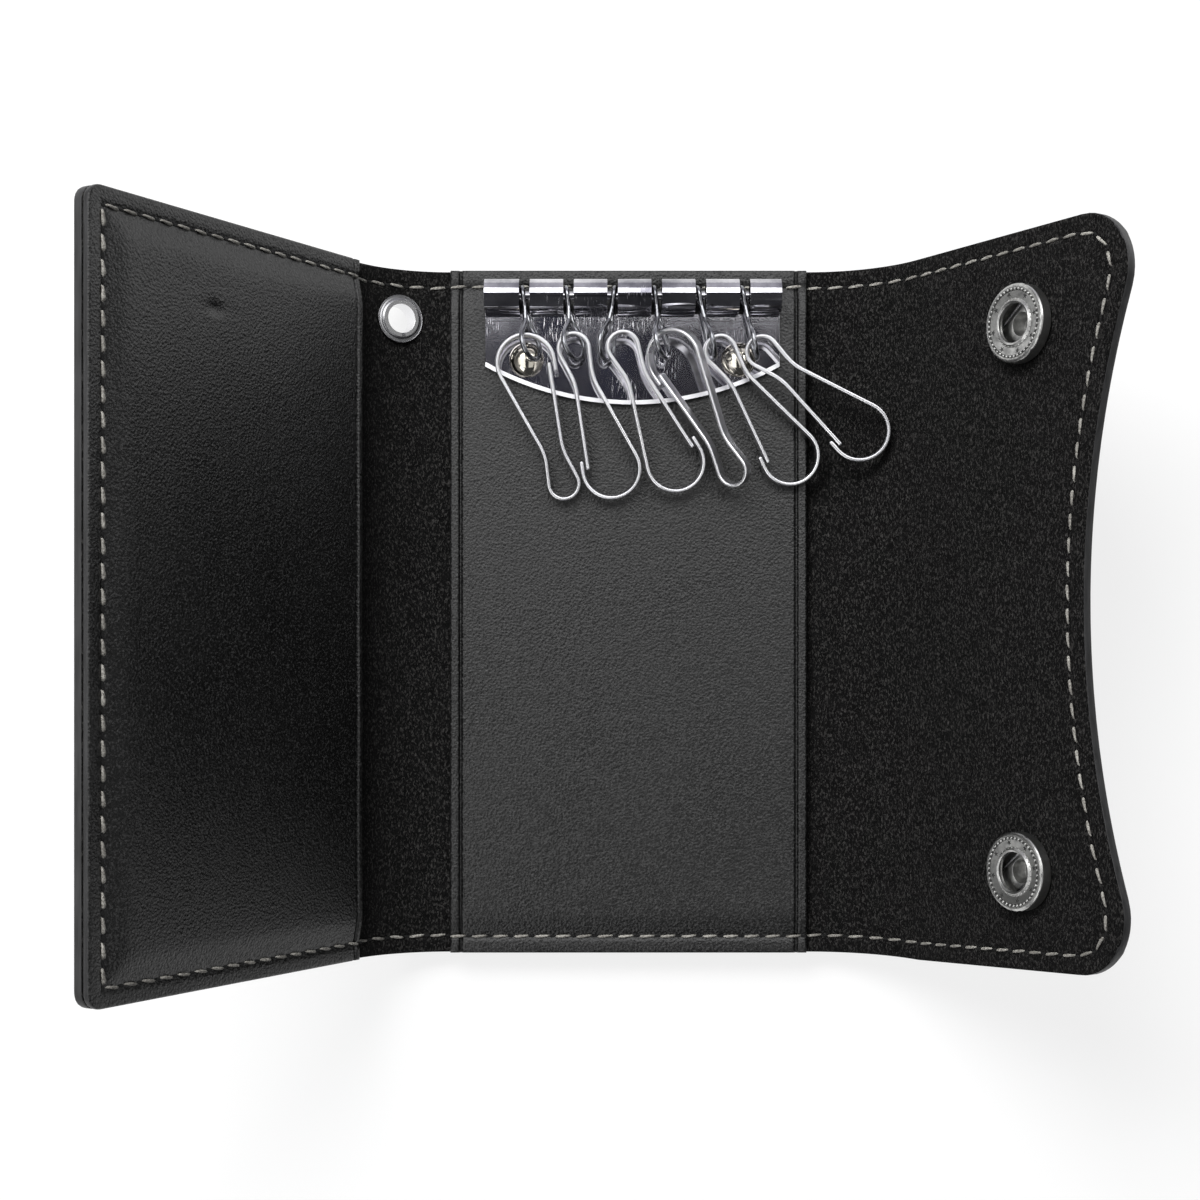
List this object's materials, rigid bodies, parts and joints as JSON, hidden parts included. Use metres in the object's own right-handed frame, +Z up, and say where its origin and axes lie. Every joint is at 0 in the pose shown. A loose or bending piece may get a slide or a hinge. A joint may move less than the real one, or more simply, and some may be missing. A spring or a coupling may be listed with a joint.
{
  "type": "key case",
  "caption": "Leather key case with two folding flaps, a slotted key plate, twisted wire hangers, spring-strip clips, an eyelet and snap fasteners.",
  "frame": {"origin": "middle of the back's resting face, which lies on the table", "axes": "+X across the folds from the wide flap to the scooped one, +Y along the folds towards the key plate, +Z up from the table"},
  "size_m": [0.1495, 0.114, 0.061],
  "materials": {
    "outer_leather": "smooth grain outside, rough inside",
    "lining_leather": "smooth grain",
    "plated_steel": "bright nickel plate on pressed steel",
    "nickel_wire": "dark nickel plate on steel wire",
    "nickel_strip": "bright nickel plate on spring strip",
    "eyelet_nickel": "bright nickel plate",
    "gunmetal": "gunmetal plate",
    "spring_wire": "drawn steel"
  },
  "bodies": {
    "spine": {"back_shell": "outer_leather", "key_panel": "lining_leather", "key_plate": "plated_steel", "axle": "nickel_wire", "rivet_left": "plated_steel", "rivet_right": "plated_steel", "rivet_washer_left": "plated_steel", "rivet_washer_right": "plated_steel"},
    "gusset": {"gusset_shell": "outer_leather", "eyelet": "eyelet_nickel", "eyelet_washer": "eyelet_nickel"},
    "left_flap": {"left_flap_shell": "outer_leather", "left_flap_lining": "lining_leather", "snap_stud_top": "gunmetal", "snap_stud_bottom": "gunmetal", "stud_post_top": "spring_wire", "stud_post_bottom": "spring_wire"},
    "right_wall": {"right_wall_shell": "outer_leather"},
    "right_flap": {"right_flap_shell": "outer_leather", "snap_socket_top": "gunmetal", "snap_socket_bottom": "gunmetal", "snap_spring_top": "spring_wire", "snap_spring_bottom": "spring_wire", "snap_cap_top": "gunmetal", "snap_cap_bottom": "gunmetal"},
    "hanger_1": {"hanger_1": "nickel_wire"},
    "clip_1": {"clip_1": "nickel_strip"},
    "hanger_2": {"hanger_2": "nickel_wire"},
    "clip_2": {"clip_2": "nickel_strip"},
    "hanger_3": {"hanger_3": "nickel_wire"},
    "clip_3": {"clip_3": "nickel_strip"},
    "hanger_4": {"hanger_4": "nickel_wire"},
    "clip_4": {"clip_4": "nickel_strip"},
    "hanger_5": {"hanger_5": "nickel_wire"},
    "clip_5": {"clip_5": "nickel_strip"},
    "hanger_6": {"hanger_6": "nickel_wire"},
    "clip_6": {"clip_6": "nickel_strip"}
  },
  "joints": [
    {"name": "gusset_fold", "type": "hinge", "parent": "spine", "child": "gusset", "pos_m": [-0.02975, 0, 0.0018], "axis": [0, 1, 0], "range_deg": [-29, 61]},
    {"name": "left_flap_fold", "type": "hinge", "parent": "gusset", "child": "left_flap", "pos_m": [-0.04459, 0, 0.01003], "axis": [0, 1, 0], "range_deg": [-29, 61]},
    {"name": "right_wall_fold", "type": "hinge", "parent": "spine", "child": "right_wall", "pos_m": [0.02975, 0, 0.0018], "axis": [0, -1, 0], "range_deg": [-29, 1]},
    {"name": "right_flap_fold", "type": "hinge", "parent": "right_wall", "child": "right_flap", "pos_m": [0.04671, 0, 0.0112], "axis": [0, -1, 0], "range_deg": [-29, 84]},
    {"name": "hanger_1_swing", "type": "hinge", "parent": "spine", "child": "hanger_1", "pos_m": [0.00065, 0.05205, 0.00637], "axis": [1, 0, 0], "range_deg": [-145, 0]},
    {"name": "clip_1_flip", "type": "hinge", "parent": "hanger_1", "child": "clip_1", "pos_m": [-0.01584, 0.04527, 0.00742], "axis": [0.9744, 0.225, 0], "range_deg": [-90, 0]},
    {"name": "hanger_2_swing", "type": "hinge", "parent": "spine", "child": "hanger_2", "pos_m": [0.00065, 0.05205, 0.00637], "axis": [1, 0, 0], "range_deg": [-145, 0]},
    {"name": "clip_2_flip", "type": "hinge", "parent": "hanger_2", "child": "clip_2", "pos_m": [-0.00907, 0.04561, 0.00754], "axis": [0.829, 0.5592, 0], "range_deg": [-90, 0]},
    {"name": "hanger_3_swing", "type": "hinge", "parent": "spine", "child": "hanger_3", "pos_m": [0.00065, 0.05205, 0.00637], "axis": [1, 0, 0], "range_deg": [-145, 0]},
    {"name": "clip_3_flip", "type": "hinge", "parent": "hanger_3", "child": "clip_3", "pos_m": [-0.00338, 0.04391, 0.00876], "axis": [0.9903, 0.1392, 0], "range_deg": [-90, 0]},
    {"name": "hanger_4_swing", "type": "hinge", "parent": "spine", "child": "hanger_4", "pos_m": [0.00065, 0.05205, 0.00637], "axis": [1, 0, 0], "range_deg": [-145, 0]},
    {"name": "clip_4_flip", "type": "hinge", "parent": "hanger_4", "child": "clip_4", "pos_m": [0.00462, 0.04498, 0.00801], "axis": [0.9998, 0.0175, 0], "range_deg": [-90, 0]},
    {"name": "hanger_5_swing", "type": "hinge", "parent": "spine", "child": "hanger_5", "pos_m": [0.00065, 0.05205, 0.00637], "axis": [1, 0, 0], "range_deg": [-145, 0]},
    {"name": "clip_5_flip", "type": "hinge", "parent": "hanger_5", "child": "clip_5", "pos_m": [0.0132, 0.04437, 0.00762], "axis": [0.9877, 0.1564, 0], "range_deg": [-90, 0]},
    {"name": "hanger_6_swing", "type": "hinge", "parent": "spine", "child": "hanger_6", "pos_m": [0.00065, 0.05205, 0.00637], "axis": [1, 0, 0], "range_deg": [-145, 0]},
    {"name": "clip_6_flip", "type": "hinge", "parent": "hanger_6", "child": "clip_6", "pos_m": [0.02019, 0.04433, 0.00842], "axis": [0.9976, 0.0698, 0], "range_deg": [-90, 0]}
  ]
}
